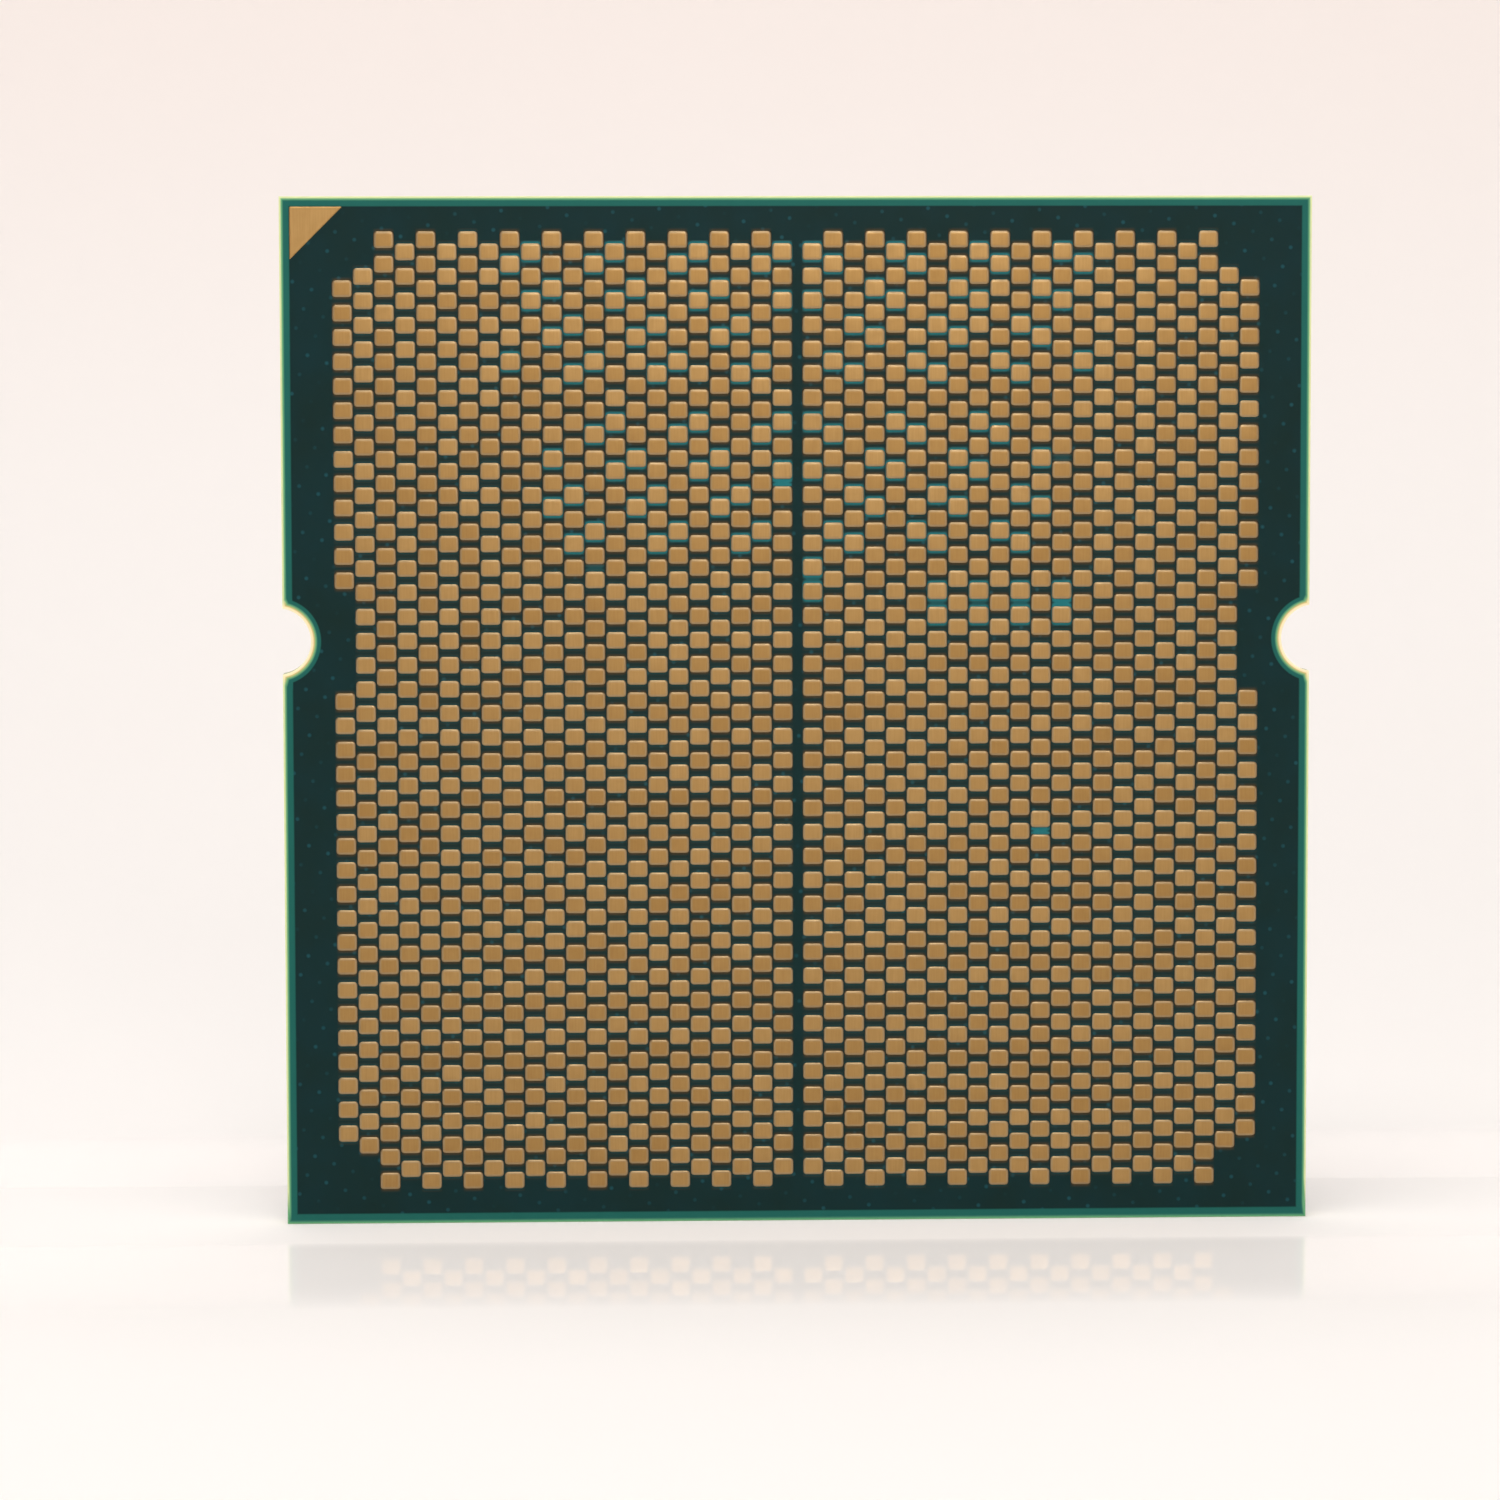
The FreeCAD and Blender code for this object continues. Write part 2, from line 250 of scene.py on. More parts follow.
def scratchGroup():
    # thin broken lines: very long noise, kept only where it passes a level, broken up by a second noise
    group, given, result = newGroup(
        "lineScratches",
        {"Stretch": ("Vector", (200, 200, 8000)), "Level": ("Float", 0.62)},
        {"Mask": "Float"})
    place = objectPlace(group)
    stretched = combineVectors(group, "MULTIPLY", place, given["Stretch"])
    lines = addNode(group, "ShaderNodeTexNoise", Vector=stretched, Scale=1.0, Detail=1.0)
    patches = addNode(group, "ShaderNodeTexNoise", Vector=place, Scale=scratchShape["patchScale"],
                      Detail=scratchShape["patchDetail"])
    both = combine(group, "MULTIPLY", lines.outputs[0], patches.outputs[0])
    level = combine(group, "MULTIPLY", given["Level"], scratchShape["levelShare"])
    above = combine(group, "SUBTRACT", both, level)
    group.links.new(combine(group, "MULTIPLY", above, scratchShape["sharpness"], clamp=True), result["Mask"])
    return group


def useGroup(tree, group, **inputs):
    return addNode(tree, "ShaderNodeGroup", {"node_tree": group}, **inputs).outputs


fineGrain = grainGroup()
lineScratches = scratchGroup()


def bumpFrom(tree, height, strength, depth):
    node = addNode(tree, "ShaderNodeBump", Strength=strength, Distance=depth, Height=height)
    return node.outputs[0]


finishShape = {"roughest": 1.2, "smoothest": 0.85, "bumpStrength": 0.35, "contrast": 1.6}


def plainFinish(name, light, dark, metallic, roughness, stretch, bumpDepth, specular):
    # two colours mixed by grain, with the grain in the roughness and the bump as well
    material, tree, shader = newMaterial(name)
    grain = useGroup(tree, fineGrain, Stretch=stretch, Contrast=finishShape["contrast"])
    lowest, highest = roughness * finishShape["smoothest"], roughness * finishShape["roughest"]
    feed(tree, shader, Base_Color=mixColour(tree, grain["Mask"], dark, light),
         Roughness=remap(tree, grain["Mask"], 0, 1, lowest, highest),
         Normal=bumpFrom(tree, grain["Height"], finishShape["bumpStrength"], bumpDepth))
    shader.inputs["Metallic"].default_value = metallic
    shader.inputs["Specular IOR Level"].default_value = specular
    return material


# solder mask: dark over copper, teal where no copper lies under it, pale at the cut edge

maskLook = {
    "overCopper": colour(13, 41, 39), "overCopperCool": colour(10, 45, 48),
    "bare": colour(28, 99, 91), "halo": colour(30, 116, 122), "bareEdge": colour(101, 170, 124),
    "cutEdge": colour(226, 236, 176), "notchEdge": colour(238, 204, 128),
    "notchGlow": colour(255, 244, 206), "brownRing": colour(86, 66, 34), "dot": colour(31, 90, 101),
    "dotPitch": 0.8007 * mm, "dotRadius": 0.085 * mm, "dotTurn": 22.56, "dotStart": (-18.76 * mm, 36.42 * mm),
    "dotStrength": 0.29, "dotNoise": 900.0, "roughness": 0.36, "roughSpread": (-0.05, 0.08), "brownShare": 0.7,
    "weaveDepth": 0.004 * mm, "weaveStrength": 0.25,
}


def dotGroup():
    # lattice of round vents in the copper: distance from the nearest lattice point, turned and set by one dot
    group, given, result = newGroup("planeVents", {"Strength": ("Float", 0.5)}, {"Mask": "Float"})
    place = objectPlace(group)
    startX, startZ = maskLook["dotStart"]
    turned = addNode(group, "ShaderNodeVectorRotate", {"rotation_type": "Y_AXIS"},
                     Vector=combineVectors(group, "SUBTRACT", place, (startX, 0, startZ)),
                     Angle=np.radians(-maskLook["dotTurn"]))
    scale = 1 / maskLook["dotPitch"]
    scaled = combineVectors(group, "MULTIPLY", turned.outputs[0], (scale, 0, scale))
    middle = (0.5, 0.5, 0.5)
    part = addNode(group, "ShaderNodeVectorMath", {"operation": "FRACTION"},
                   n0=combineVectors(group, "ADD", scaled, middle))
    away = addNode(group, "ShaderNodeVectorMath", {"operation": "LENGTH"},
                   n0=combineVectors(group, "SUBTRACT", part.outputs[0], middle))
    edge = maskLook["dotRadius"] * scale
    roundSpot = remap(group, away.outputs["Value"], edge * 0.3, edge * 1.3, 1, 0)
    noise = addNode(group, "ShaderNodeTexNoise", Vector=place, Scale=maskLook["dotNoise"], Detail=1.0)
    patchy = remap(group, noise.outputs[0], 0.36, 0.62, 0.1, 1)      # some vents are nearly closed
    mask = combine(group, "MULTIPLY", combine(group, "MULTIPLY", roundSpot, patchy), given["Strength"], clamp=True)
    group.links.new(mask, result["Mask"])
    return group


def solderMaskMaterial():
    material, tree, shader = newMaterial("solderMask")
    patches = useGroup(tree, fineGrain, Stretch=(450, 450, 450), Contrast=2.2)
    weave = useGroup(tree, fineGrain, Stretch=(9000, 2000, 1500), Contrast=1.2)
    vents = useGroup(tree, dotGroup(), Strength=maskLook["dotStrength"] * 2)
    bare, cut, notch, brown, halo = (readMark(tree, name) for name in ("bare", "cut", "notch", "brown", "halo"))
    over = mixColour(tree, patches["Mask"], maskLook["overCopper"], maskLook["overCopperCool"])
    over = mixColour(tree, vents["Mask"], over, maskLook["dot"])
    over = mixColour(tree, remap(tree, brown, 0, 1, 0, maskLook["brownShare"]), over, maskLook["brownRing"])
    teal = mixColour(tree, remap(tree, cut, 0.1, 0.55, 0, 1), maskLook["bare"], maskLook["bareEdge"])
    golden = mixColour(tree, remap(tree, cut, 0.75, 1, 0, 1), maskLook["notchEdge"], maskLook["notchGlow"])
    edge = mixColour(tree, notch, maskLook["cutEdge"], golden)
    teal = mixColour(tree, remap(tree, cut, 0.45, 0.95, 0, 1), teal, edge)
    over = mixColour(tree, remap(tree, halo, 0.05, 0.95, 0, 1), over, maskLook["halo"])
    shade = mixColour(tree, remap(tree, bare, 0.05, 0.95, 0, 1), over, teal)
    lowest, highest = (maskLook["roughness"] + spread for spread in maskLook["roughSpread"])
    feed(tree, shader, Base_Color=shade, Roughness=remap(tree, weave["Mask"], 0, 1, lowest, highest),
         Normal=bumpFrom(tree, weave["Height"], maskLook["weaveStrength"], maskLook["weaveDepth"]))
    shader.inputs["Specular IOR Level"].default_value = 0.1
    return material


# gold plating: two families of contacts, a little different in tone from one to the next, with a painted highlight
# on the shoulder of each land

goldLook = {
    "ground": colour(160, 126, 75), "signal": colour(174, 141, 90), "dark": colour(142, 106, 59),
    # the pale grey below is a painted highlight: the sky's reflection on each land's rounded shoulder
    "crest": colour(154, 141, 117), "roughness": 0.38, "roughSpread": (-0.06, 0.08), "grainDepth": 0.005 * mm,
    "streakShare": 0.3, "cloudShare": 0.14, "crestHighlightShare": 0.6,
}


def goldMaterial():
    material, tree, shader = newMaterial("goldPlating")
    streaks = useGroup(tree, fineGrain, Stretch=(15000, 2000, 900), Contrast=1.8)
    clouds = useGroup(tree, fineGrain, Stretch=(2200, 2200, 2200), Contrast=1.6)
    tone, crest = readMark(tree, "tone"), readMark(tree, "crest")
    family = mixColour(tree, tone, goldLook["ground"], goldLook["signal"])
    streakMask = remap(tree, streaks["Mask"], 0, 1, 0, goldLook["streakShare"])
    cloudMask = remap(tree, clouds["Mask"], 0, 1, 0, goldLook["cloudShare"])
    streaked = mixColour(tree, streakMask, family, goldLook["dark"])
    clouded = mixColour(tree, cloudMask, streaked, goldLook["dark"])
    # each land's shoulder loop is mixed towards pale grey: a painted highlight standing in for the sky's reflection
    # on the rounded edge
    highlighted = mixColour(tree, remap(tree, crest, 0, 1, 0, goldLook["crestHighlightShare"]), clouded, goldLook["crest"])
    lowest, highest = (goldLook["roughness"] + spread for spread in goldLook["roughSpread"])
    feed(tree, shader, Base_Color=highlighted, Roughness=remap(tree, clouds["Mask"], 0, 1, lowest, highest),
         Normal=bumpFrom(tree, streaks["Height"], 0.3, goldLook["grainDepth"]))
    shader.inputs["Metallic"].default_value = 1.0
    return material


# laminate: pale epoxy with the cut ends of glass bundles in it

laminateLook = {
    "resin": colour(176, 188, 138), "glass": colour(216, 216, 178), "line": colour(120, 138, 84),
    "plyScale": 1250.0, "plyShare": 0.35, "fibreShare": 0.3, "fibreDepth": 0.012 * mm, "filmTint": 0.35,
}


def laminateMaterial(name, tintShare):
    # bundles: stretched cells along the edge; plies: thin lines across the thickness
    material, tree, shader = newMaterial(name)
    bundles = useGroup(tree, fineGrain, Stretch=(1500, 5200, 1500), Contrast=2.6)
    fibres = useGroup(tree, fineGrain, Stretch=(9000, 30000, 9000), Contrast=2.0)
    plies = addNode(tree, "ShaderNodeTexWave", {"wave_type": "BANDS", "bands_direction": "Y"},
                    Vector=objectPlace(tree), Scale=laminateLook["plyScale"], Distortion=1.6, Detail=2.0)
    base = mixColour(tree, bundles["Mask"], laminateLook["resin"], laminateLook["glass"])
    plyLines = remap(tree, plies.outputs["Fac"], 0.7, 1, 0, laminateLook["plyShare"])
    base = mixColour(tree, plyLines, base, laminateLook["line"])
    fibreLines = remap(tree, fibres["Mask"], 0.5, 1, 0, laminateLook["fibreShare"])
    base = mixColour(tree, fibreLines, base, laminateLook["line"])
    if tintShare:
        base = mixColour(tree, tintShare, base, laminateLook["line"])
    feed(tree, shader, Base_Color=base, Roughness=remap(tree, fibres["Mask"], 0, 1, 0.42, 0.62),
         Normal=bumpFrom(tree, fibres["Height"], 0.5, laminateLook["fibreDepth"]))
    return material


# heat spreader: satin nickel over copper, finely lined, with a few handling marks

lidLook = {
    "nickel": colour(190, 186, 180), "shade": colour(170, 165, 158), "mark": colour(204, 200, 194),
    "roughness": 0.3, "roughSpread": (-0.06, 0.1), "lineDepth": 0.004 * mm, "lineShare": 0.3,
    "markLevel": 0.8, "crossLevel": 0.86, "edgeRadius": 0.12 * mm, "edgeSamples": 6,
}


def nickelMaterial():
    material, tree, shader = newMaterial("satinNickel")
    clouds = useGroup(tree, fineGrain, Stretch=(90, 90, 90), Contrast=1.8)
    lines = useGroup(tree, fineGrain, Stretch=(260, 9000, 14000), Contrast=1.4)
    grit = useGroup(tree, fineGrain, Stretch=(16000, 16000, 16000), Contrast=1.6)
    marks = useGroup(tree, lineScratches, Stretch=(140, 900, 16000), Level=lidLook["markLevel"])
    crossMarks = useGroup(tree, lineScratches, Stretch=(11000, 900, 190), Level=lidLook["crossLevel"])
    base = mixColour(tree, clouds["Mask"], lidLook["shade"], lidLook["nickel"])
    base = mixColour(tree, remap(tree, lines["Mask"], 0, 1, 0, lidLook["lineShare"]), base, lidLook["shade"])
    base = mixColour(tree, marks["Mask"], base, lidLook["mark"])
    base = mixColour(tree, crossMarks["Mask"], base, lidLook["mark"])
    both = combine(tree, "MULTIPLY", clouds["Mask"], grit["Mask"])
    lowest, highest = (lidLook["roughness"] + spread for spread in lidLook["roughSpread"])
    height = combine(tree, "ADD", lines["Height"], grit["Height"])
    # the bevel node turns the normals over at each edge, as a stamped edge does
    worn = addNode(tree, "ShaderNodeBevel", {"samples": lidLook["edgeSamples"]}, Radius=lidLook["edgeRadius"])
    lined = addNode(tree, "ShaderNodeBump", Strength=0.3, Distance=lidLook["lineDepth"], Height=height,
                    Normal=worn.outputs[0])
    feed(tree, shader, Base_Color=base, Roughness=remap(tree, both, 0, 0.6, lowest, highest),
         Normal=lined.outputs[0])
    shader.inputs["Metallic"].default_value = 1.0
    return material


print("materials")
solderMask = solderMaskMaterial()
goldPlating = goldMaterial()
coreEdge = laminateMaterial("coreLaminate", 0)
filmEdge = laminateMaterial("buildupFilm", laminateLook["filmTint"])
satinNickel = nickelMaterial()
plainLooks = {
    # light colour, dark colour, metallic, roughness, grain stretch, grain depth, specular level
    "copperFoil": (colour(214, 142, 96), colour(176, 104, 66), 1.0, 0.35, (6000,) * 3, 0.004 * mm, 0.5),
    "polishedSilicon": (colour(92, 94, 104), colour(74, 76, 86), 0.9, 0.14, (2500, 2500, 9000), 0.001 * mm, 0.5),
    "curedEpoxy": (colour(44, 44, 48), colour(26, 26, 30), 0.0, 0.22, (3000,) * 3, 0.01 * mm, 0.5),
    "softSolder": (colour(190, 192, 198), colour(150, 152, 160), 1.0, 0.4, (5000,) * 3, 0.006 * mm, 0.5),
    "tinSolder": (colour(206, 206, 208), colour(172, 172, 176), 1.0, 0.34, (7000,) * 3, 0.006 * mm, 0.5),
    "tinnedEnd": (colour(204, 202, 198), colour(158, 156, 152), 1.0, 0.36, (12000,) * 3, 0.006 * mm, 0.5),
    "firedCeramic": (colour(168, 134, 100), colour(132, 100, 72), 0.0, 0.55, (16000,) * 3, 0.006 * mm, 0.4),
    "siliconeSealant": (colour(132, 134, 138), colour(104, 106, 110), 0.0, 0.6, (5000,) * 3, 0.01 * mm, 0.35),
}
plain = {name: plainFinish(name, *look) for name, look in plainLooks.items()}

looksBySlot = {
    "laminate": coreEdge, "nickel": satinNickel, "sealant": plain["siliconeSealant"],
    "silicon": plain["polishedSilicon"], "underfill": plain["curedEpoxy"], "thermal_solder": plain["softSolder"],
    "tin_solder": plain["tinSolder"], "tinned_ends": plain["tinnedEnd"],
    "capacitor_ceramic": plain["firedCeramic"], "copper": plain["copperFoil"], "gold": goldPlating,
    "solder_mask": solderMask,
}
looksByEnding = {"buildup_film": filmEdge, "capacitor_pads": plain["tinSolder"]}      # these go before the slots


def dressNodes():
    # every CAD node gets its finish, from the end of its name or from its material slot
    slots = {part["node"]: part["material_slot"] for part in frame["record"]["subparts"]}
    for name, node in frame["nodes"].items():
        special = [look for ending, look in looksByEnding.items() if name.endswith(ending)]
        node.data.materials.clear()
        node.data.materials.append(special[0] if special else looksBySlot[slots[name]])


dressNodes()


# contact lands: a pillow with rounded corners, one per place of the staggered grid

landGrid = {
    "columnPitch": 0.81 * mm, "halfRowPitch": 0.47 * mm, "firstColumn": 0.5825 * mm, "columns": 22,
    "lastHalfRow": 39, "shorterColumns": {20: 36, 21: 35}, "notchRow": 6, "notchClear": 4,
}
landShape = {
    "width": 0.77 * mm, "height": 0.65 * mm, "corner": 0.13 * mm, "pointsPerCorner": 4,
    # how far in from the outline and how deep behind the contact plane each loop lies
    "insets": (0, 0, 0.018 * mm, 0.055 * mm, 0.13 * mm),
    "depths": (0.052 * mm, 0.02 * mm, 0.007 * mm, 0.0015 * mm, 0),
    # share of painted highlight on each loop, most on the shoulder
    "crest": (0, 0.35, 1, 0.75, 0),
    "signalTone": 0.88, "supplyTone": 0.76, "groundTone": 0.22, "toneSpread": 0.16, "swap": 0.12,
}
signalPairs = {"bands": (38, 35, 32, 29, 24, 21, 18, 15), "lastColumn": (13, 11), "extraRows": (10, 8),
               "extraColumns": (6, 12),
               "lone": ((1, 0, 12), (1, 0, 10))}        # side, column and half row of each
supplyPlaces = {"shiftedBelow": -18, "outerFrom": 14, "rowsBelow": 13}
maskLow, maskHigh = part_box("land_side_solder_mask")
middleZ = (maskLow.z + maskHigh.z) / 2
halfSide = (maskHigh.x - maskLow.x) / 2
contactPlane = cadLow.y
notchRise = landGrid["notchRow"] * landGrid["halfRowPitch"]      # the notches are centred on this row


def lastHalfRows():
    # the outermost half row of each column
    limit = np.full(landGrid["columns"], landGrid["lastHalfRow"])
    limit[list(landGrid["shorterColumns"])] = list(landGrid["shorterColumns"].values())
    return limit


def landTable():
    # side, column, half row, x and z of every land: column and half row are both even or both odd
    column, row = np.meshgrid(np.arange(landGrid["columns"]),
                              np.arange(-landGrid["lastHalfRow"], landGrid["lastHalfRow"] + 1), indexing="ij")
    limit = lastHalfRows()
    fromNotch = np.abs(row - landGrid["notchRow"])
    kept = ((row + column) % 2 == 0) & (np.abs(row) <= limit[column])
    kept &= (column < landGrid["columns"] - 1) | (fromNotch > landGrid["notchClear"])
    column, row = np.tile(column[kept], 2), np.tile(row[kept], 2)
    side = np.repeat([-1, 1], kept.sum())
    x = side * (landGrid["firstColumn"] + column * landGrid["columnPitch"])
    z = middleZ + row * landGrid["halfRowPitch"]
    return side, column, row, x, z


def signalLands(side, column, row):
    # pairs that step down by one half row: in band b the upper one has (column + b) divisible by 4
    chosen = np.zeros(len(row), bool)
    for number, upper in enumerate(signalPairs["bands"]):
        step = number % 4
        last = signalPairs["lastColumn"][number // 4]
        chosen |= (row == upper) & ((column + step) % 4 == 0) & (column <= last)
        chosen |= (row == upper - 1) & ((column + step - 1) % 4 == 0) & (column <= last)
    low, high = signalPairs["extraColumns"]
    extra = np.isin(row, signalPairs["extraRows"]) & (column % 2 == 0) & (column >= low) & (column <= high)
    for loneSide, loneColumn, loneRow in signalPairs["lone"]:
        chosen |= (side == loneSide) & (column == loneColumn) & (row == loneRow)
    return chosen | (extra & (side > 0))


def powerLands(side, column, row):
    # full rows of supply contacts between full rows of ground, and every other column at the outside
    rowPhase = np.where(row < supplyPlaces["shiftedBelow"], 1, 0)
    outer = column >= supplyPlaces["outerFrom"]
    inRows = ((row + rowPhase) % 4 >= 2) & (~outer | (row < 0)) & (row < supplyPlaces["rowsBelow"])
    inColumns = outer & (column % 2 == 0) & (row >= 0)
    return inRows | inColumns


side, column, row, landX, landZ = landTable()
isSignal = signalLands(side, column, row)
isSupply = powerLands(side, column, row) & ~isSignal
isSupply ^= (rng.random(len(row)) < landShape["swap"]) & ~isSignal
landTone = np.where(isSupply, landShape["supplyTone"], landShape["groundTone"])
landTone = np.where(isSignal, landShape["signalTone"], landTone)
landTone = np.clip(landTone + rng.normal(0, landShape["toneSpread"], len(row)), 0, 1)


def landTemplate():
    # loops of one rounded rectangle, each moved in by its inset and back by its depth
    loops = []
    for inset, depth in zip(landShape["insets"], landShape["depths"]):
        corner = max(landShape["corner"] - inset, 0.03 * mm)
        flat = roundedLoop(landShape["width"] / 2 - inset, landShape["height"] / 2 - inset, corner, corner,
                           landShape["pointsPerCorner"])
        loops.append(np.stack([flat[:, 0], np.full(len(flat), contactPlane + depth), flat[:, 1]], axis=1))
    return np.concatenate(loops), loftFaces(len(loops), len(loops[0]))


def makeLands():
    template, faceBlocks = landTemplate()
    for rowName, rowTest in (("upper", row >= 0), ("lower", row < 0)):
        for sideName, sideTest in (("left", side < 0), ("right", side > 0)):
            chosen = rowTest & sideTest
            centres = np.stack([landX[chosen], np.zeros(chosen.sum()), landZ[chosen]], axis=1)
            points, blocks = stampTemplate(template, faceBlocks, centres)
            tone = np.repeat(landTone[chosen], len(template))
            # the painted highlight share of each point, taken from its loop
            crest = np.tile(np.repeat(landShape["crest"], len(template) // len(landShape["crest"])), chosen.sum())
            makePiece(f"{rowName}{sideName.title()}Lands", points, blocks, goldPlating, "gold",
                      [f"{rowName}_{sideName}_lands"], marks={"tone": tone, "crest": crest})


makeLands()
print("lands", len(row), "signal", int(isSignal.sum()), "supply", int(isSupply.sum()))


# outline of the package, as a loop that can be moved in by any amount

outlineShape = {"notchRadius": 1.3 * mm, "notchOutside": 0.2 * mm, "straightPoints": 12, "arcPoints": 28}


def outlineLoop(inset):
    # straight runs and two round notches; the same number of points whatever the inset, counterclockwise
    reach = halfSide - inset
    centre = halfSide + outlineShape["notchOutside"]
    radius = outlineShape["notchRadius"] + inset
    notchZ = middleZ + notchRise
    chord = np.sqrt(radius ** 2 - (centre - reach) ** 2)
    half = np.arctan2(chord, centre - reach)
    low, high = middleZ - reach, middleZ + reach

    def run(start, end):
        # share = half of 1 - cos(half turn): the points stand closer together near both ends
        share = (1 - np.cos(np.linspace(0, np.pi, outlineShape["straightPoints"], endpoint=False)[:, None])) / 2
        return np.array(start) * (1 - share) + np.array(end) * share

    def notch(sign):
        angle = np.linspace(half, -half, outlineShape["arcPoints"], endpoint=False)
        return np.stack([sign * (centre - radius * np.cos(angle)), notchZ - sign * radius * np.sin(angle)], axis=1)

    loop = np.concatenate([
        run((-reach, low), (reach, low)), run((reach, low), (reach, notchZ - chord)), notch(1),
        run((reach, notchZ + chord), (reach, high)), run((reach, high), (-reach, high)),
        run((-reach, high), (-reach, notchZ + chord)), notch(-1),
        run((-reach, notchZ - chord), (-reach, low))])
    straight, curved = outlineShape["straightPoints"], outlineShape["arcPoints"]
    inNotch = np.zeros(len(loop))
    inNotch[2 * straight:2 * straight + curved + 1] = 1
    inNotch[5 * straight + curved:5 * straight + 2 * curved + 1] = 1
    return loop, inNotch


# land side mask: rim loops, a window round each land and plain mask in between

rimShape = {
    # distance from the outline, drop behind the mask's face, how cut and how bare the mask looks there
    "insets": (0, 0.035 * mm, 0.1 * mm, 0.18 * mm, 0.34 * mm, 0.42 * mm),
    "drops": (0.018 * mm, 0.003 * mm, 0, 0, 0, 0),
    "cut": (1, 0.9, 0.5, 0.12, 0, 0), "bare": (1, 1, 1, 1, 1, 0),
    # along the edge the object stands on, the pale cut edge is painted less pale: painted shade near the floor
    "footShadeBand": 0.45 * mm, "footShadeCut": 0.55,      # the edge it stands on looks less pale
    "notchInsets": (0, 0.09 * mm, 0.2 * mm, 0.27 * mm, 0.36 * mm, 0.42 * mm),
}
windowShape = {"gap": 0.004 * mm, "collarX": 0.016 * mm, "collarZ": 0.085 * mm, "depth": 0.026 * mm,
               "haloReach": 0.4, "supplyHalo": 0.3, "brownWindow": 0.8, "brownCollar": 0.35}
# strips of mask with no copper under them: side, column, upper half row and how bare
openGaps = ((-1, 0, 20, 0.9), (1, 12, 10, 0.9), (1, 11, -9, 0.75), (1, 6, 10, 0.45), (1, 8, 10, 0.4),
            (1, 10, 10, 0.5), (1, 0, 12, 0.5), (-1, 9, 13, 0.35), (1, 1, 21, 0.3), (1, 12, 22, 0.3))


def rimLoops(face, outward):
    # the outline at each inset; at a notch the insets are their own, blended by the notch mark
    points, cut, bare, notch = [], [], [], []
    for number, inset in enumerate(rimShape["insets"]):
        flat, inNotch = outlineLoop(inset)
        wide, _ = outlineLoop(rimShape["notchInsets"][number])
        flat = np.where(inNotch[:, None] > 0, wide, flat)
        y = np.full(len(flat), face - outward * rimShape["drops"][number])
        points.append(np.stack([flat[:, 0], y, flat[:, 1]], axis=1))
        # along the foot the cut mark is lowered: painted shade
        standing = flat[:, 1] < middleZ - halfSide + rimShape["footShadeBand"]
        cut.append(rimShape["cut"][number] * np.where(standing, rimShape["footShadeCut"], 1))
        bare.append(np.full(len(flat), rimShape["bare"][number]))
        notch.append(inNotch)
    return points, np.concatenate(cut), np.concatenate(bare), np.concatenate(notch)


def brickLoop():
    # edge of one land's cell, sixteen points that its neighbours share
    x, z = landGrid["columnPitch"] / 2, landGrid["halfRowPitch"]
    quarter = np.array([(x, 0), (x, z / 2), (x, z), (x / 2, z), (0, z)])
    left = quarter[::-1] * (-1, 1)
    lower = -np.concatenate([quarter, left[1:]])
    return np.concatenate([quarter, left[1:], lower[1:-1]])


def windowCell(face):
    # from the cell's edge in to the collar, to the window's edge, and down its wall to a floor
    gap = windowShape["gap"]
    halfWidth, halfHeight = landShape["width"] / 2 + gap, landShape["height"] / 2 + gap
    radius = landShape["corner"] + gap
    collarX, collarZ = windowShape["collarX"], windowShape["collarZ"]
    collar = roundedLoop(halfWidth + collarX - gap, halfHeight + collarZ, radius, radius + collarZ, 4)
    window = roundedLoop(halfWidth, halfHeight, radius, radius, 4)
    flats = (brickLoop(), collar, window, window)
    levels = (face, face, face, face + windowShape["depth"])
    points = [np.stack([flat[:, 0], np.full(16, level), flat[:, 1]], axis=1) for flat, level in zip(flats, levels)]
    return np.concatenate(points), loftFaces(4, 16, closeFirst=False)


def insideFields(x, z):
    # whether a place lies in the cells of either field of lands
    column = np.round((np.abs(x) - landGrid["firstColumn"]) / landGrid["columnPitch"]).astype(int)
    inColumns = (column >= 0) & (column < landGrid["columns"])
    column = np.clip(column, 0, landGrid["columns"] - 1)
    limit = lastHalfRows()
    top = limit - (np.arange(landGrid["columns"]) + limit) % 2
    rise = z - middleZ
    inRows = np.abs(rise) < (top[column] + 1) * landGrid["halfRowPitch"]
    beside = np.abs(rise - notchRise) < landGrid["notchClear"] * landGrid["halfRowPitch"]
    return inColumns & inRows & ~((column == landGrid["columns"] - 1) & beside)


def edgeOnce(faces):
    # edges that only one face uses
    pairs = np.stack([faces, np.roll(faces, -1, axis=1)], axis=2).reshape(-1, 2)
    keys, first, count = np.unique(np.sort(pairs, axis=1), axis=0, return_index=True, return_counts=True)
    return pairs[first[count == 1]]


def fillBetween(points, edges):
    # constrained triangles over the flat mask, without those inside the fields or beyond the rim
    used, numbers = np.unique(edges, return_inverse=True)
    numbers = numbers.reshape(-1, 2)
    flat = [Vector(pair) for pair in points[used][:, [0, 2]].tolist()]
    placed, _, triangles, *_ = delaunay_2d_cdt(flat, numbers.tolist(), [], 0, 1e-9)
    if len(placed) != len(used):
        raise ValueError(f"the mask fill added points: {len(placed)} for {len(used)}")
    triangles = np.array(triangles)
    middle = points[used][triangles].mean(axis=1)
    centre = halfSide + outlineShape["notchOutside"]
    reach = outlineShape["notchRadius"] + rimShape["insets"][-1]
    fromNotch = np.hypot(np.abs(middle[:, 0]) - centre, middle[:, 2] - middleZ - notchRise)
    kept = ~insideFields(middle[:, 0], middle[:, 2]) & (fromNotch > reach)
    return used[triangles[kept]]


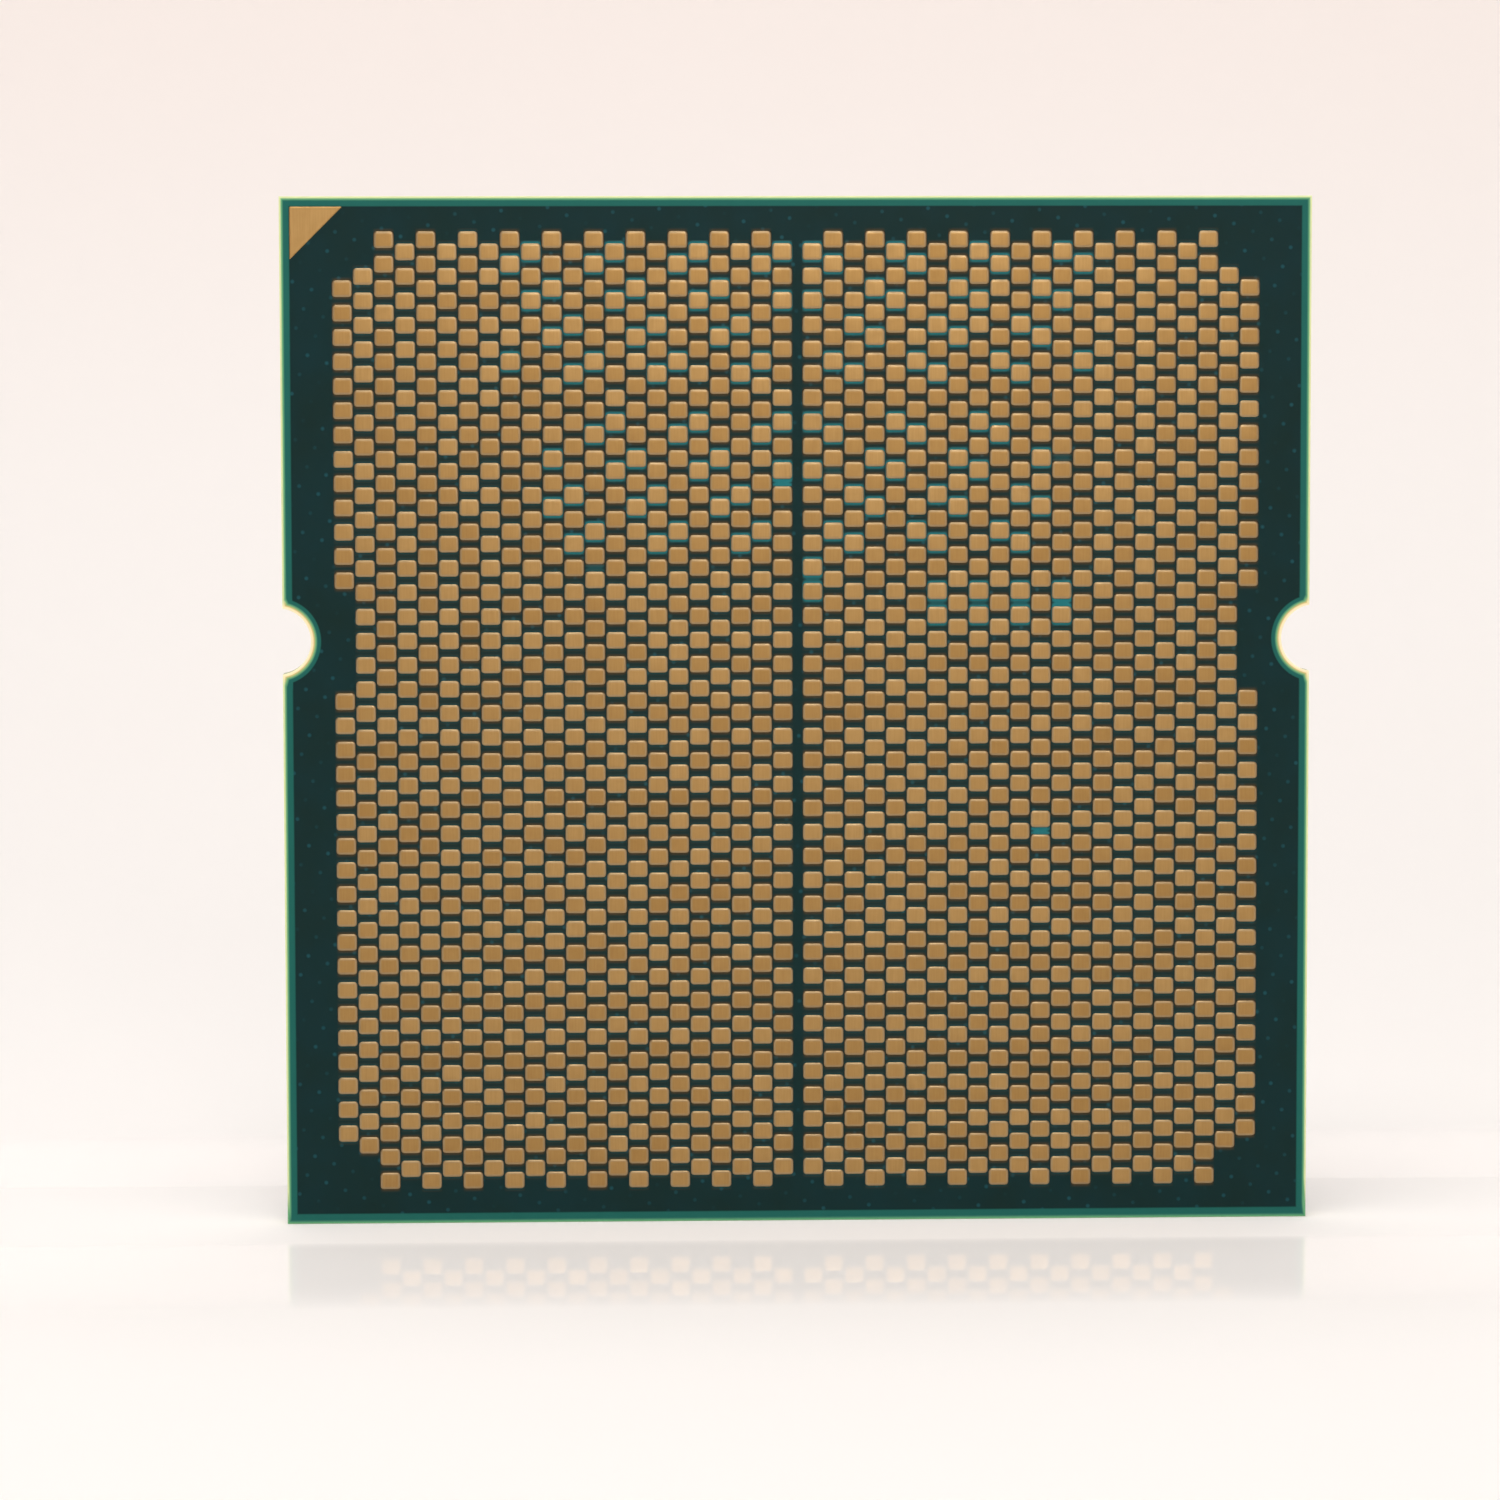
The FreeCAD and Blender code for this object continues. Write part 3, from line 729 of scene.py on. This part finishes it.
def gapMarks(cell):
    # the lower edge of the land above an open gap and the upper edge of the land below it
    marks = np.zeros((len(landX), len(cell)))
    lowerEdge = (cell[:, 2] < -landShape["height"] / 2) & (np.abs(cell[:, 0]) < landGrid["columnPitch"] / 2)
    upperEdge = (cell[:, 2] > landShape["height"] / 2) & (np.abs(cell[:, 0]) < landGrid["columnPitch"] / 2)
    for gapSide, gapColumn, upperRow, share in openGaps:
        for gapRow, edge in ((upperRow, lowerEdge), (upperRow - 2, upperEdge)):
            land = (side == gapSide) & (column == gapColumn) & (row == gapRow)
            marks[np.ix_(land, edge)] = share
    return marks.ravel()


def makeLandSideMask():
    face = maskLow.y
    back = maskHigh.y
    cell, cellFaces = windowCell(face)
    centres = np.stack([landX, np.zeros(len(landX)), landZ], axis=1)
    fieldPoints, fieldBlocks = stampTemplate(cell, cellFaces, centres)
    atWindow = np.tile(np.repeat([0, 0.0, 1, 1], 16), len(landX))
    atCollar = np.tile(np.repeat([0, 1, 0, 0], 16), len(landX))
    halo = np.repeat(np.where(isSignal, 1.0, np.where(isSupply, windowShape["supplyHalo"], 0)), len(cell))
    fieldHalo = np.maximum(halo * (atWindow + windowShape["haloReach"] * atCollar), gapMarks(cell))
    brown = np.repeat(windowShape["brownWindow"] * ~(isSignal | isSupply), len(cell))
    fieldBrown = brown * atWindow + windowShape["brownCollar"] * atCollar
    loops, cut, bare, notch = rimLoops(face, -1)
    rimPoints = np.concatenate(loops)
    outer = loops[0].copy()
    outer[:, 1] = back
    size = len(outer)
    rimFaces = loftFaces(len(loops), size, closeFirst=False, closeLast=False)[0]
    points = np.concatenate([fieldPoints, rimPoints, outer])
    base = len(fieldPoints)
    rimFaces = rimFaces + base
    backLoop = np.arange(size) + base + len(rimPoints)
    wall = stripFaces(backLoop, np.arange(size) + base)
    onField, beyond, onWall = np.zeros(base), np.zeros(len(rimPoints) + size), np.ones(size)
    parts = {"bare": (onField, bare, onWall), "cut": (onField, cut, onWall), "notch": (onField, notch, notch[:size]),
             "halo": (fieldHalo, beyond), "brown": (fieldBrown, beyond)}
    marks = {name: np.concatenate(values) for name, values in parts.items()}
    blocks = fieldBlocks + [rimFaces, wall, backLoop[::-1][None]]
    points, blocks, marks = weldPoints(points, blocks, marks)
    fieldEdges = edgeOnce(blocks[0])
    fieldEdges = fieldEdges[np.abs(points[fieldEdges[:, 0], 1] - face) < 1e-6]
    rimEdges = edgeOnce(blocks[2])
    onFace = np.abs(points[rimEdges, 1] - face).max(axis=1) < 1e-6
    fill = fillBetween(points, np.concatenate([fieldEdges, rimEdges[onFace]]))
    blocks = [block for block in blocks if len(block)] + [fill]
    makePiece("landSideMask", points, blocks, solderMask, "solder_mask", ["land_side_solder_mask"],
              smooth=False, marks=marks)
    print("land side mask", len(points), "points", len(fill), "fill triangles")


makeLandSideMask()


def makeLidSideMask():
    # the same rim, turned to face the lid, with one flat face inside it
    low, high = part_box("lid_side_solder_mask")
    loops, cut, bare, notch = rimLoops(high.y, 1)
    outer = loops[0].copy()
    outer[:, 1] = low.y
    points = np.concatenate([outer] + loops)
    blocks = loftFaces(len(loops) + 1, len(outer))
    blocks = [block[:, ::-1] for block in blocks]
    one = np.ones(len(outer))
    marks = {"bare": np.concatenate([one, bare]), "cut": np.concatenate([one, cut]),
             "notch": np.concatenate([notch[:len(outer)], notch]),
             "brown": np.zeros(len(points)), "halo": np.zeros(len(points))}
    makePiece("lidSideMask", points, blocks, solderMask, "solder_mask", ["lid_side_solder_mask"],
              smooth=False, marks=marks)


makeLidSideMask()


# corner markers: gold triangles with the same pillow edge as the lands

markerShape = {"corner": 0.05 * mm, "insets": (0, 0, 0.014 * mm, 0.04 * mm), "depths": (1, 0.5, 0.15, 0)}


def triangleLoop(low, high, inset):
    # right angle at the upper left, three rounded corners of four points each
    left, top = low.x + inset, high.z - inset
    leg = (high.x - low.x) - inset * (2 + np.sqrt(2))
    radius = markerShape["corner"]
    corners = np.array([(left, top), (left, top - leg), (left + leg, top)])
    before, after = np.roll(corners, 1, axis=0), np.roll(corners, -1, axis=0)
    toBefore = (before - corners) / np.linalg.norm(before - corners, axis=1)[:, None]
    toAfter = (after - corners) / np.linalg.norm(after - corners, axis=1)[:, None]
    share = np.linspace(0, 1, 4)[None, :, None]
    start, end = corners + toBefore * radius, corners + toAfter * radius
    bend = start[:, None] * (1 - share) ** 2 + 2 * corners[:, None] * share * (1 - share) + end[:, None] * share ** 2
    return bend.reshape(-1, 2)


def makeMarker(name, node, front):
    # front is -1 when it faces the viewer of the land side and +1 when it faces the lid side
    low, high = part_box(node)
    loops = []
    for inset, share in zip(markerShape["insets"], markerShape["depths"]):
        flat = triangleLoop(low, high, inset)
        y = (high.y if front > 0 else low.y) - front * share * (high.y - low.y)
        loops.append(np.stack([flat[:, 0], np.full(len(flat), y), flat[:, 1]], axis=1))
    blocks = loftFaces(len(loops), len(loops[0]))
    if front > 0:
        blocks = [block[:, ::-1] for block in blocks]
    points = np.concatenate(loops)
    makePiece(name, points, blocks, goldPlating, "gold", [node], smooth=False,
              marks={"tone": np.full(len(points), 1.0), "crest": np.zeros(len(points))})


makeMarker("landSideMarker", "land_side_corner_marker", -1)
makeMarker("lidSideMarker", "lid_side_corner_marker", 1)
print("markers")


# capacitors: a fired body between two rounded end caps, with hollow solder fillets

capacitorShape = {
    "boxPoints": 24, "endLength": 0.25 * mm, "length": 1.0 * mm, "width": 0.5 * mm, "corner": 0.05 * mm,
    "bodyCorner": 0.03 * mm, "bodyStep": 0.01 * mm, "waist": 0.006 * mm, "sharpFrom": 50, "base": 0.03 * mm,
    # how far each section of an end cap lies inside the cap's end, and how far it is drawn in
    "endSections": ((0.25 * mm, 0.004 * mm), (0.235 * mm, 0), (0.05 * mm, 0), (0.014 * mm, 0.014 * mm),
                    (0, 0.05 * mm)),
    "solderFoot": 0.19 * mm, "solderClimb": 0.24 * mm, "solderSide": 0.02 * mm, "footRounding": 0.6,
    "climbRounding": 0.35,
}


def sectionLoop(halfWidth, height, corner):
    # rounded rectangle in the plane across the capacitor, standing on 0
    loop = roundedLoop(halfWidth, height / 2, corner, corner, 3)
    return loop + (0, height / 2)


def loftAlong(stations, sections):
    # sections (across, up) set at stations along the long axis: points are (along, up, across)
    points = [np.stack([np.full(len(section), place), section[:, 1], section[:, 0]], axis=1)
              for place, section in zip(stations, sections)]
    return np.concatenate(points), loftFaces(len(stations), len(sections[0]))


def bodyTemplate():
    # slightly waisted bar: width falls by a hair towards the middle, as fired blocks do
    half = capacitorShape["length"] / 2 - capacitorShape["endLength"]
    places = np.linspace(-half, half, 5)
    sections = []
    for place in places:
        step = capacitorShape["bodyStep"] + capacitorShape["waist"] * (1 - (place / half) ** 2)
        width = capacitorShape["width"] / 2 - step
        sections.append(sectionLoop(width, 2 * width, capacitorShape["bodyCorner"]) + (0, step))
    return loftAlong(places, sections)


def endTemplate(sign):
    # cap whose outer edges are rounded off in three steps
    places, sections = [], []
    for inside, inset in capacitorShape["endSections"]:
        half = capacitorShape["width"] / 2 - inset
        places.append(sign * (capacitorShape["length"] / 2 - inside))
        sections.append(sectionLoop(half, 2 * half, capacitorShape["corner"]) + (0, inset))
    return loftAlong(places, sections)


def solderTemplate(sign):
    # meniscus: height falls from the climb to nothing as (1 - s) squared, and the foot rounds off to the sides
    across = np.linspace(-1, 1, 7)
    outer = capacitorShape["length"] / 2
    inner = outer - capacitorShape["endLength"]
    share = np.linspace(0, 1, 6)
    points = []
    for place in across:
        foot = capacitorShape["solderFoot"] * np.sqrt(1 - capacitorShape["footRounding"] * place ** 2)
        climb = capacitorShape["solderClimb"] * (1 - capacitorShape["climbRounding"] * place ** 2)
        along = np.concatenate([[inner, inner], outer + foot * share])
        up = np.concatenate([[0, capacitorShape["base"]], (climb + capacitorShape["base"]) * (1 - share) ** 2])
        z = np.full(len(along), place * (capacitorShape["width"] / 2 - capacitorShape["solderSide"]))
        points.append(np.stack([sign * along, up, z], axis=1))
    return np.concatenate(points), loftFaces(len(across), len(points[0]))


def outwardFaces(points, blocks):
    # turns every face round when the closed shape's volume comes out negative
    volume = 0.0
    for block in blocks:
        for corner in range(1, block.shape[1] - 1):
            a, b, c = points[block[:, 0]], points[block[:, corner]], points[block[:, corner + 1]]
            volume += np.einsum("ij,ij->", a, np.cross(b, c))
    return blocks if volume > 0 else [block[:, ::-1] for block in blocks]


def placeOnBoard(template, centres, upright, lift):
    # template axes are along, up and across; up becomes +Y, along becomes X, or Z when upright
    points, blocks = template
    lying = np.stack([points[:, 0], points[:, 1] + lift, -points[:, 2]], axis=1)
    standing = np.stack([points[:, 2], points[:, 1] + lift, points[:, 0]], axis=1)
    allPoints, allBlocks, base = [], [[] for _ in blocks], 0
    for shape, chosen in ((lying, ~upright), (standing, upright)):
        if not chosen.any():
            continue
        turned = outwardFaces(shape, blocks)
        stamped, stampedBlocks = stampTemplate(shape, turned, centres[chosen])
        for number, block in enumerate(stampedBlocks):
            allBlocks[number].append(block + base)
        allPoints.append(stamped)
        base += len(stamped)
    return np.concatenate(allPoints), [np.concatenate(group) for group in allBlocks]


def joinShapes(shapes):
    points, blocks, base = [], [], 0
    for shapePoints, shapeBlocks in shapes:
        blocks += [block + base for block in shapeBlocks]
        points.append(shapePoints)
        base += len(shapePoints)
    return np.concatenate(points), blocks


def capacitorPlaces(bodyNode):
    # centre on the board and direction, read from the CAD bodies
    low, high = solidBoxes(bodyNode, capacitorShape["boxPoints"])
    centres = (low + high) / 2
    centres[:, 1] = 0
    size = high - low
    return centres, size[:, 0] < size[:, 2]


def pieceName(nodeName):
    first, *rest = nodeName.split("_")
    return first + "".join(word.title() for word in rest)


def makeCapacitors():
    clusters = [f"{name}_bay_capacitor" for name in ("right", "top", "left", "bottom")]
    clusters += [f"{rowName}_{sideName}_corner_capacitor" for rowName in ("upper", "lower")
                 for sideName in ("left", "right")]
    clusters += ["io_die_capacitor", "compute_die_capacitor"]
    solder = {"bay": [], "corner": [], "under_lid": []}
    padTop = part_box("bay_capacitor_pads")[1].y
    lift = padTop + capacitorShape["base"]
    for cluster in clusters:
        centres, upright = capacitorPlaces(f"{cluster}_bodies")
        body = placeOnBoard(bodyTemplate(), centres, upright, lift)
        ends = joinShapes([placeOnBoard(endTemplate(sign), centres, upright, lift) for sign in (-1, 1)])
        makePiece(pieceName(f"{cluster}_bodies"), *body, plain["firedCeramic"], "capacitor_ceramic",
                  [f"{cluster}_bodies"], sharpFrom=capacitorShape["sharpFrom"])
        makePiece(pieceName(f"{cluster}_ends"), *ends, plain["tinnedEnd"], "tinned_ends",
                  [f"{cluster}_ends"], sharpFrom=capacitorShape["sharpFrom"])
        region = "bay" if "bay" in cluster else "corner" if "corner" in cluster else "under_lid"
        solder[region] += [placeOnBoard(solderTemplate(sign), centres, upright, padTop) for sign in (-1, 1)]
    for region, shapes in solder.items():
        makePiece(pieceName(f"{region}_capacitor_solder"), *joinShapes(shapes), plain["tinSolder"], "tin_solder",
                  [f"{region}_capacitor_solder"], sharpFrom=capacitorShape["sharpFrom"])
    print("capacitors", len(clusters), "clusters")


makeCapacitors()


# studio: a pale bowl with a faint sheen, lit from above, from the front and from behind

studio = {
    "floor": colour(224, 222, 220), "radius": 0.42, "bend": 0.16, "height": 0.5, "floorLevel": -0.00002,
    "bendSteps": 14, "floorSteps": 10, "aroundSteps": 96, "innermost": 0.02, "roughness": 0.012,
    "sky": colour(255, 252, 250), "skyStrength": 0.05,
    "glow": 0.25, "glowTint": colour(255, 253, 251), "glowFrom": -0.1, "glowTo": 0.0,
    "floorTo": 0.01, "wallFrom": 0.06,
    "upperWall": colour(219, 209, 204), "upperFrom": 0.0, "upperTo": 0.09,
    # the sheen lies in a band before and behind the object: where it comes in and where it goes
    "sheen": 0.033, "sheenIn": (0.0066, 0.0082), "sheenOut": (0.0145, 0.0205),
}


lights = {
    # power in watts, size, place, aim and tint
    "keyLight": (0.42, 0.3, (-0.05, -0.12, 0.4), (0, -0.08, 0), (1, 0.985, 0.97)),
    "nearLight": (0.135, 0.12, (-0.01, -0.07, 0.18), (0, -0.03, 0), (1, 0.985, 0.97)),
    "windowLight": (0.31, 0.08, (0.03, -0.4, 0.16), (0, 0, middleZ), (1, 0.97, 0.94)),
    "wallLight": (0.55, 0.3, (0, 0.2, 0.36), (0, 0.42, 0.1), (1, 0.985, 0.975)),
}


def makeBowl():
    # profile turned about Z: flat floor, a quarter circle up, then a straight wall
    around = studio["aroundSteps"]
    bend = np.linspace(0, quarterTurn, studio["bendSteps"])
    flat = np.linspace(studio["innermost"], 1, studio["floorSteps"]) * (studio["radius"] - studio["bend"])
    out = np.concatenate([flat, studio["radius"] - studio["bend"] + studio["bend"] * np.sin(bend[1:]),
                          [studio["radius"]]])
    up = np.concatenate([np.zeros(len(flat)), studio["bend"] * (1 - np.cos(bend[1:])), [studio["height"]]])
    angle = np.linspace(0, 2 * np.pi, around, endpoint=False)
    points = np.stack([out[:, None] * np.cos(angle), out[:, None] * np.sin(angle),
                       np.broadcast_to(up[:, None] + studio["floorLevel"], (len(out), around))], axis=2)
    loops = np.arange(len(out) * around).reshape(len(out), around)
    strips = np.concatenate([stripFaces(loops[i + 1], loops[i]) for i in range(len(out) - 1)])
    mesh = bpy.data.meshes.new("studioBowl")
    mesh.from_pydata(points.reshape(-1, 3).tolist(), [], strips.tolist() + [loops[0].tolist()])
    mesh.polygons.foreach_set("use_smooth", np.ones(len(mesh.polygons), bool))
    material, tree, shader = newMaterial("paleFloor")
    grain = useGroup(tree, fineGrain, Stretch=(300, 300, 300), Contrast=1.0)
    # the floor and the wall behind the object glow a little, like a lit acrylic stage; the wall in front does not
    place = addNode(tree, "ShaderNodeSeparateXYZ", Vector=objectPlace(tree))
    onFloor = remap(tree, place.outputs["Z"], studio["wallFrom"], studio["floorTo"], 0, studio["glow"])
    behind = remap(tree, place.outputs["Y"], studio["glowFrom"], studio["glowTo"], 0, studio["glow"])
    shader.inputs["Emission Color"].default_value = studio["glowTint"]
    higher = remap(tree, place.outputs["Z"], studio["upperFrom"], studio["upperTo"], 0, 1)
    away = addNode(tree, "ShaderNodeMath", {"operation": "ABSOLUTE"}, n0=place.outputs["Y"]).outputs[0]
    comesIn = remap(tree, away, *studio["sheenIn"], 0, studio["sheen"])
    goesOut = remap(tree, away, *studio["sheenOut"], 1, 0)
    feed(tree, shader, Base_Color=mixColour(tree, higher, studio["floor"], studio["upperWall"]),
         Roughness=remap(tree, grain["Mask"], 0, 1, 0, studio["roughness"]),
         Emission_Strength=combine(tree, "MAXIMUM", onFloor, behind),
         Specular_IOR_Level=combine(tree, "MULTIPLY", comesIn, goesOut))
    mesh.materials.append(material)
    bowl = bpy.data.objects.new("studioBowl", mesh)
    bpy.context.collection.objects.link(bowl)


def areaLight(name, power, size, place, aim, tint):
    light = bpy.data.lights.new(name, "AREA")
    light.energy = power
    light.size = size
    light.color = tint
    lamp = bpy.data.objects.new(name, light)
    lamp.location = place
    lamp.rotation_euler = (Vector(aim) - Vector(place)).to_track_quat("-Z", "Y").to_euler()
    bpy.context.collection.objects.link(lamp)


def lightStudio():
    world = bpy.data.worlds.new("studioSky")
    bpy.context.scene.world = world
    world.use_nodes = True
    background = world.node_tree.nodes["Background"]
    background.inputs["Color"].default_value = studio["sky"]
    background.inputs["Strength"].default_value = studio["skyStrength"]
    for name, setup in lights.items():
        areaLight(name, *setup)


makeBowl()
lightStudio()
print("studio")


# camera: a long lens a little to the left and above the middle

cameraSetup = {"place": (-8.469 * mm, -198.736 * mm, 33.537 * mm), "turn": (85.63, 0.1113, -1.9352),
               "lens": 121.33, "sensor": 36, "near": 0.01, "far": 10}


def makeCamera():
    lens = bpy.data.cameras.new("mainCamera")
    lens.lens = cameraSetup["lens"]
    lens.sensor_width = cameraSetup["sensor"]
    lens.clip_start = cameraSetup["near"]
    lens.clip_end = cameraSetup["far"]
    camera = bpy.data.objects.new("mainCamera", lens)
    camera.location = cameraSetup["place"]
    camera.rotation_euler = np.radians(cameraSetup["turn"])
    bpy.context.collection.objects.link(camera)
    bpy.context.scene.camera = camera


makeCamera()
bpy.context.scene.view_settings.view_transform = "Standard"
